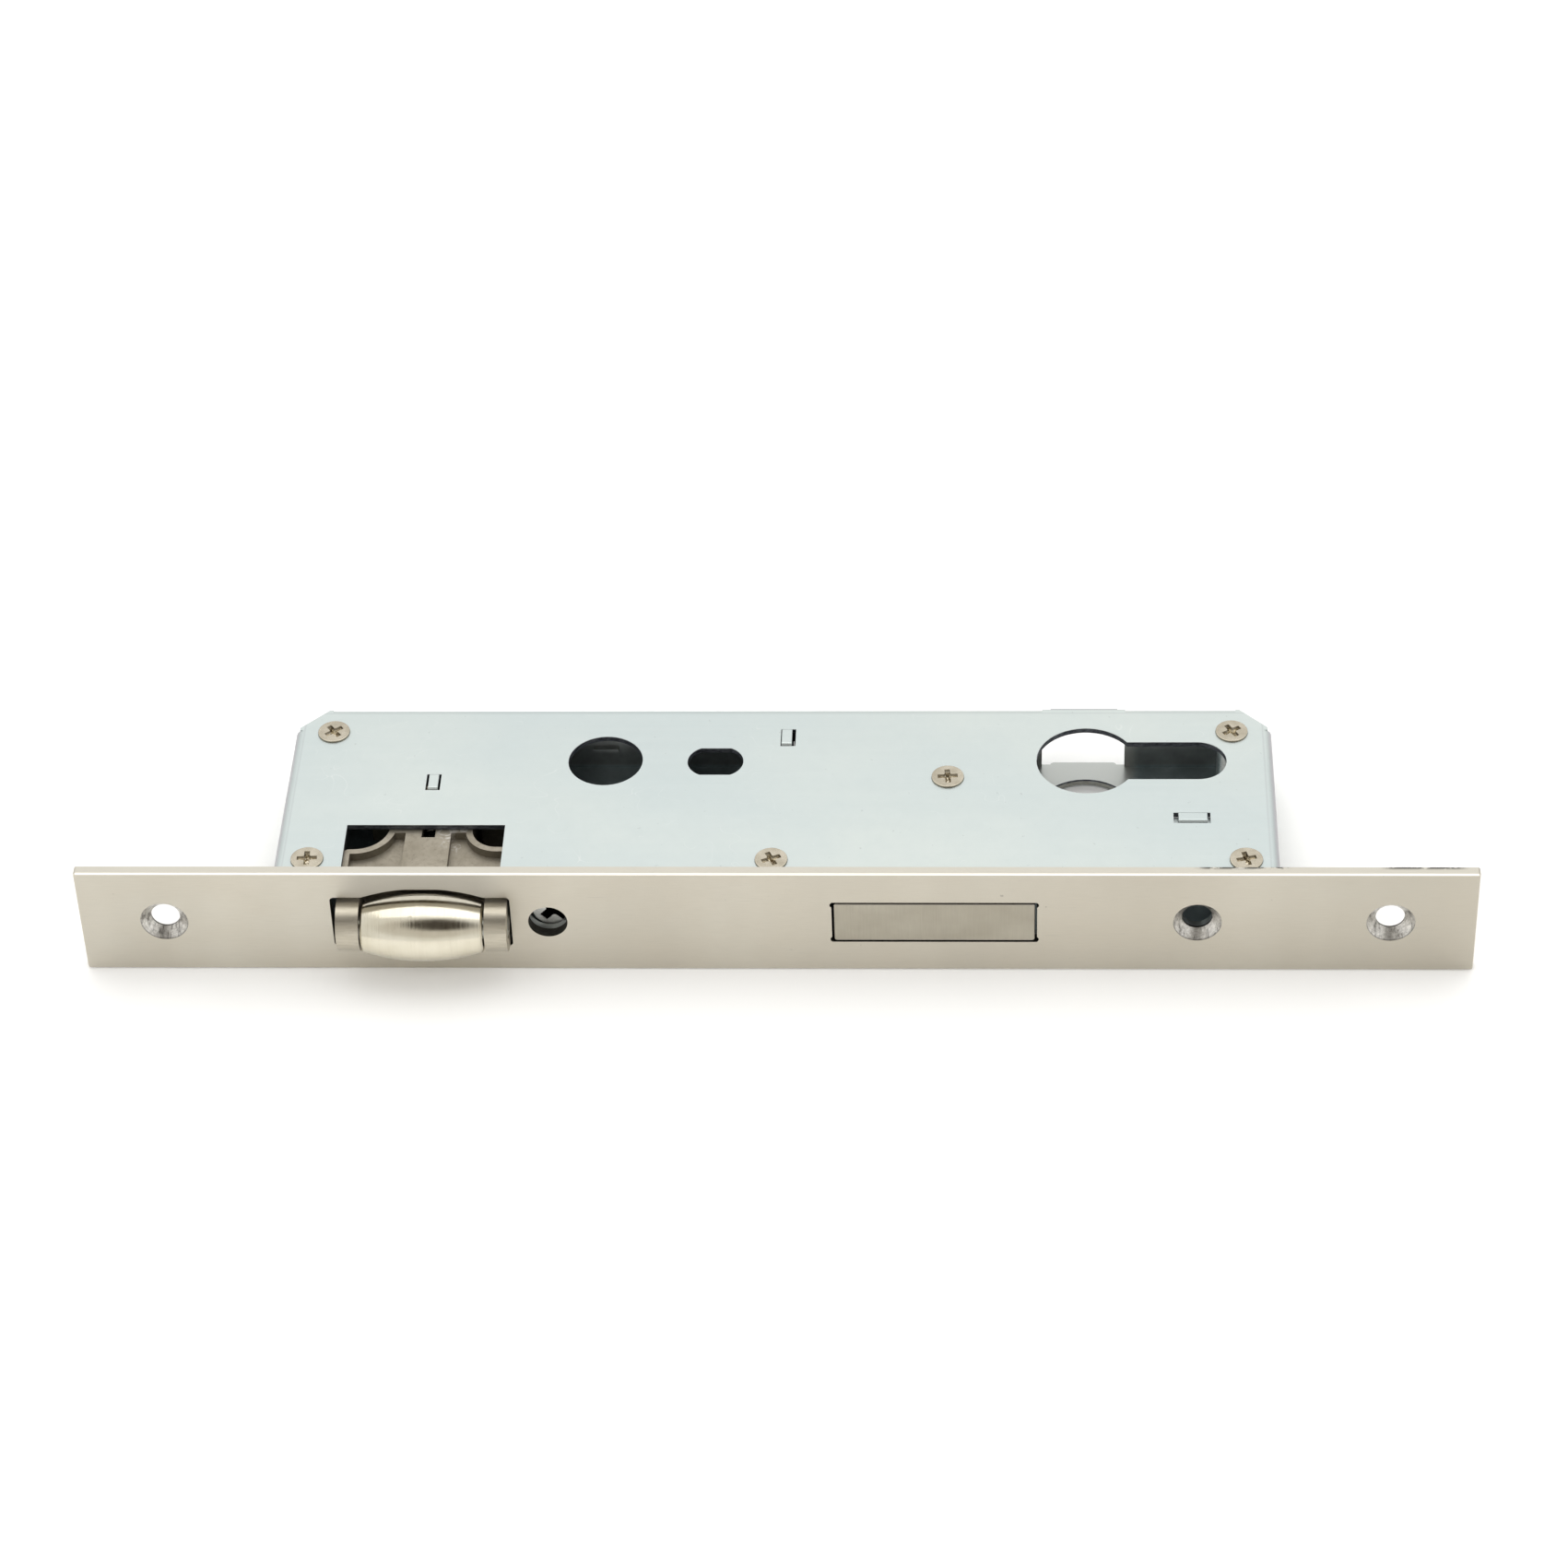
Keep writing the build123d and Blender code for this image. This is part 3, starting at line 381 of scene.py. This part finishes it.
def casting_material():
    """Matt zinc casting, with slight stains and a smear of grease behind the window."""
    p = Paint("zinc_casting", 0.85)
    skin = p.noise((1400, 1400, 1400), 4.0, 0.65)
    cloud = p.noise((150, 150, 150), 3.0, 0.6, (5, 1, 0))
    colour = p.mix(p.spread(cloud, 0.3, 0.7), (0.270, 0.243, 0.190), (0.375, 0.342, 0.280))
    colour = p.mix(p.spread(skin, 0.5, 0.8, 0.0, 0.5), colour, (0.18, 0.155, 0.12))
    # Painted shade: upright faces of the pockets and flanks are darker
    shaded_flank = p.all(p.across(p.facing[2]), p.spread(p.y, 6.0 * MM, 7.0 * MM))
    colour = p.mix(p.math("MULTIPLY", shaded_flank, 0.45), colour, (0.11, 0.097, 0.075))
    # The fork's noses are plated and polished where they show in the forend
    nose = p.spread(p.y, 3.0 * MM, 1.0 * MM)
    brushed = p.noise((200, 2600, 2600), 3.0, 0.7)
    plated = p.mix(p.spread(brushed, 0.3, 0.7), (0.410, 0.375, 0.300), (0.530, 0.490, 0.405))
    colour = p.mix(nose, colour, plated)
    smear = p.noise((420, 420, 160), 4.0, 0.6, (9, 2, 0), 1.2)
    spot = p.near(p.ring((roller_axis.x + 4.0 * MM, 17.2 * MM, 0), "xy"), 1.5 * MM, 5.0 * MM)
    grease = p.all(p.spread(smear, 0.52, 0.6), spot)
    colour = p.mix(p.math("MULTIPLY", grease, 0.7), colour, (0.62, 0.60, 0.56))
    rough = p.blend(nose, p.spread(skin, 0.3, 0.7, 0.42, 0.56), 0.30)
    normal = p.bump(skin, 0.30, 0.06 * MM)
    return p.finish(colour, rough, normal)


def adjuster_material():
    """The adjusting screw: bright turned head, its cross recess painted black as shade."""
    p = Paint("adjuster_steel")
    turning = p.noise((1500, 4000, 1500), 3.0, 0.65)
    colour = p.mix(p.spread(turning, 0.3, 0.7), (0.84, 0.84, 0.80), (0.98, 0.98, 0.94))
    below_face = p.spread(p.y, adjuster_low.y + 0.03 * MM, adjuster_low.y + 0.15 * MM)
    middle = (adjuster_low + adjuster_high) / 2
    # Painted shade: the recess black
    recess = p.all(below_face, p.near(p.ring(middle, "xz"), 3.1 * MM, 3.4 * MM))
    colour = p.mix(recess, colour, (0.012, 0.012, 0.011))
    return p.finish(colour, p.blend(recess, 0.5, 0.8), p.bump(turning, 0.2, 0.03 * MM))


def steel_material(name, dark, light, rough_low, rough_high, scale):
    """Plain machine-finished steel for the small pieces inside the case."""
    p = Paint(name)
    turning = p.noise(scale, 3.0, 0.65)
    cloud = p.noise((300, 300, 300), 3.0, 0.6, (2, 5, 1))
    colour = p.mix(p.spread(turning, 0.3, 0.7), dark, light)
    colour = p.mix(p.spread(cloud, 0.5, 0.8, 0.0, 0.35), colour, tuple(c * 0.6 for c in dark))
    rough = p.spread(p.math("ADD", turning, cloud), 0.7, 1.3, rough_low, rough_high)
    return p.finish(colour, rough, p.bump(turning, 0.2, 0.03 * MM))


forend_paint = forend_material()
zinc_paint = zinc_material()
screw_paint = screw_material()
roller_paint = roller_material()
bolt_paint = bolt_material()
casting_paint = casting_material()
post_paint = steel_material(
    "post_steel", (0.62, 0.64, 0.62), (0.80, 0.82, 0.80), 0.24, 0.38, (500, 500, 5000)
)
adjuster_paint = adjuster_material()
plate_paint = steel_material(
    "tail_steel", (0.36, 0.36, 0.35), (0.52, 0.52, 0.50), 0.3, 0.45, (400, 3000, 400)
)
spring_paint = steel_material(
    "spring_steel", (0.30, 0.30, 0.30), (0.55, 0.55, 0.54), 0.2, 0.32, (2500, 2500, 2500)
)

finishes = {
    "forend": forend_paint,
    "case_base": zinc_paint,
    "case_front_wall": zinc_paint,
    "case_side_walls": zinc_paint,
    "case_cover": zinc_paint,
    "cover_skirts": zinc_paint,
    "guide_plate": zinc_paint,
    "slide_bracket": zinc_paint,
    "screw_steady": zinc_paint,
    "adjuster_bracket": zinc_paint,
    "locking_slide": zinc_paint,
    "cover_screws": screw_paint,
    "case_posts": post_paint,
    "adjusting_screw": adjuster_paint,
    "roller_axle": post_paint,
    "roller": roller_paint,
    "deadbolt": bolt_paint,
    "bolt_tail": plate_paint,
    "bolt_rivets": post_paint,
    "locking_peg": post_paint,
    "roller_carriage": casting_paint,
    "adjuster_nut": casting_paint,
    "roller_spring": spring_paint,
    "locking_spring": spring_paint,
}
for name, paint in finishes.items():
    for material_slot in nodes[name].material_slots:
        material_slot.material = paint

# ---- floor: the lock lies on the forend's lower edge and the case's rear lower edge ----
rest_y = forend_high.y
rest_z = forend_low.z - 0.03 * MM
rear_y = case_high.y - 1.5 * MM
slope = (tray_low.z - forend_low.z) / (rear_y - rest_y)
level_y = case_high.y + 18 * MM


def floor_height(y):
    """Sloped under the lock, level behind it."""
    bend = case_high.y + 3 * MM
    if y <= bend:
        return rest_z + slope * (y - rest_y)
    top = rest_z + slope * (bend - rest_y)
    part = min(y, level_y) - bend
    return top + slope * (part - part * part / (2 * (level_y - bend)))


floor_ys = [-6.0, -1.0, case_high.y + 3 * MM]
floor_ys += [case_high.y + (3 + 15 * step / 8) * MM for step in range(1, 9)] + [1.0, 6.0]
floor_points = [(x, y, floor_height(y)) for y in floor_ys for x in (-6.0, 6.0)]
floor_faces = [(2 * i, 2 * i + 1, 2 * i + 3, 2 * i + 2) for i in range(len(floor_ys) - 1)]
floor_mesh = bpy.data.meshes.new("floor")
floor_mesh.from_pydata(floor_points, [], floor_faces)
floor_mesh.shade_smooth()
floor = bpy.data.objects.new("floor", floor_mesh)
bpy.context.collection.objects.link(floor)
floor_paint = Paint("floor_paper", 0.0)
floor_paint.shader.inputs["Specular IOR Level"].default_value = 0.2
floor_mesh.materials.append(floor_paint.finish((0.98, 0.98, 0.975), 0.7))

# ---- light ----
world = bpy.data.worlds.new("studio")
bpy.context.scene.world = world
world.use_nodes = True
world_nodes = world.node_tree.nodes
background = world_nodes["Background"]
background.inputs["Strength"].default_value = 0.98
sky = world_nodes.new("ShaderNodeTexCoord").outputs["Generated"]


def sky_patch(direction, inner, outer, below, colour):
    """Mixes a soft-edged round patch of the surroundings into the world's colour."""
    links = world.node_tree.links
    dot = world_nodes.new("ShaderNodeVectorMath")
    dot.operation = "DOT_PRODUCT"
    links.new(sky, dot.inputs[0])
    dot.inputs[1].default_value = Vector(direction).normalized()
    fade = world_nodes.new("ShaderNodeMapRange")
    fade.interpolation_type = "SMOOTHSTEP"
    links.new(dot.outputs["Value"], fade.inputs["Value"])
    fade.inputs["From Min"].default_value = math.cos(math.radians(outer))
    fade.inputs["From Max"].default_value = math.cos(math.radians(inner))
    mix = world_nodes.new("ShaderNodeMix")
    mix.data_type = "RGBA"
    links.new(fade.outputs[0], mix.inputs[0])
    if isinstance(below, bpy.types.NodeSocket):
        links.new(below, mix.inputs[6])
    else:
        mix.inputs[6].default_value = (*below, 1.0)
    mix.inputs[7].default_value = (*colour, 1.0)
    return mix.outputs[2]


# White room, dimmer behind the photographer, with the dark camera itself a little to the right
sky_colour = sky_patch((0.0, -0.80, 0.60), 26, 38, (1.0, 0.995, 0.985), (0.74, 0.715, 0.67))
sky_colour = sky_patch((0.08, -0.63, 0.77), 16, 24, sky_colour, (0.05, 0.04, 0.03))
world.node_tree.links.new(sky_colour, background.inputs["Color"])


def softbox(name, place, target, size, power, colour):
    """A rectangular lamp at a place, facing a target. Returns the lamp."""
    data = bpy.data.lights.new(name, "AREA")
    data.shape = "RECTANGLE"
    data.size, data.size_y = size
    data.energy = power
    data.color = colour
    lamp = bpy.data.objects.new(name, data)
    bpy.context.collection.objects.link(lamp)
    lamp.location = place
    lamp.rotation_euler = (Vector(target) - Vector(place)).to_track_quat("-Z", "Y").to_euler()
    return lamp


centre = (cad_low + cad_high) / 2
softbox("overhead_softbox", (0.0, 0.33, 1.2), centre, (1.6, 1.27), 6.6, (1.0, 0.99, 0.97))
# Lifts the paper in front of the lock, and isn't mirrored in the metal
paper_softbox = softbox("paper_softbox", (0.0, -1.2, 1.3), centre, (1.5, 1.0), 8.0, (1.0, 0.995, 0.98))
paper_softbox.visible_glossy = False

# ---- camera ----
camera_data = bpy.data.cameras.new("camera")
camera_data.lens = 107.873
camera_data.sensor_width = 36.0
camera_data.clip_start = 0.01
camera_data.clip_end = 30.0
camera = bpy.data.objects.new("camera", camera_data)
bpy.context.collection.objects.link(camera)
camera.location = Vector((38.895, -595.035, 547.006)) * MM
camera.rotation_euler = Euler([math.radians(angle) for angle in (49.1248, 1.7305, 1.9848)], "XYZ")
bpy.context.scene.camera = camera

bpy.context.scene.view_settings.view_transform = "Standard"
